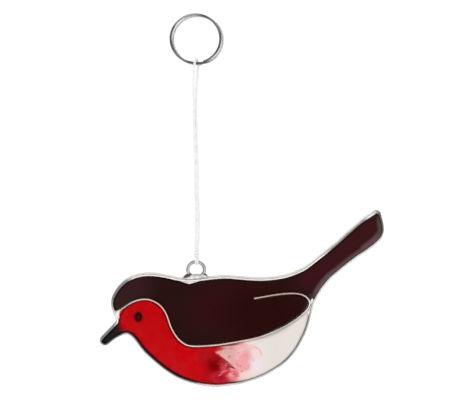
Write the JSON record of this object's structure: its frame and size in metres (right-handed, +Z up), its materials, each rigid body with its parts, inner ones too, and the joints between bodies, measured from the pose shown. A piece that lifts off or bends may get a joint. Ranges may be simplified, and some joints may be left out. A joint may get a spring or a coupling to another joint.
{
  "type": "suncatcher",
  "caption": "Flat bird-shaped suncatcher: bent metal strip filled with dark brown, red and white resin, hung by an eyelet from a white cord loop with a split ring.",
  "frame": {"origin": "the hang point, at the inner top of the split ring's hole", "axes": "+X towards the bird's tail, +Y away from the face shown in the picture, +Z up; the domed resin faces -Y"},
  "size_m": [0.1399, 0.0059, 0.1891],
  "materials": {
    "strip_metal": "worn silver with soldered joints",
    "eyelet_metal": "smooth silver wire",
    "ring_metal": "bright plated",
    "brown_resin": "glossy poured resin",
    "red_white_resin": "glossy poured resin, red marbled into white",
    "white_cord": "twisted white cord"
  },
  "bodies": {
    "root": {"outline_strip": "strip_metal", "divider_strip": "strip_metal", "brown_panel": "brown_resin", "red_white_panel": "red_white_resin", "eyelet": "eyelet_metal", "split_ring": "ring_metal", "hanging_cord": "white_cord", "cord_knot": "white_cord"}
  },
  "joints": []
}
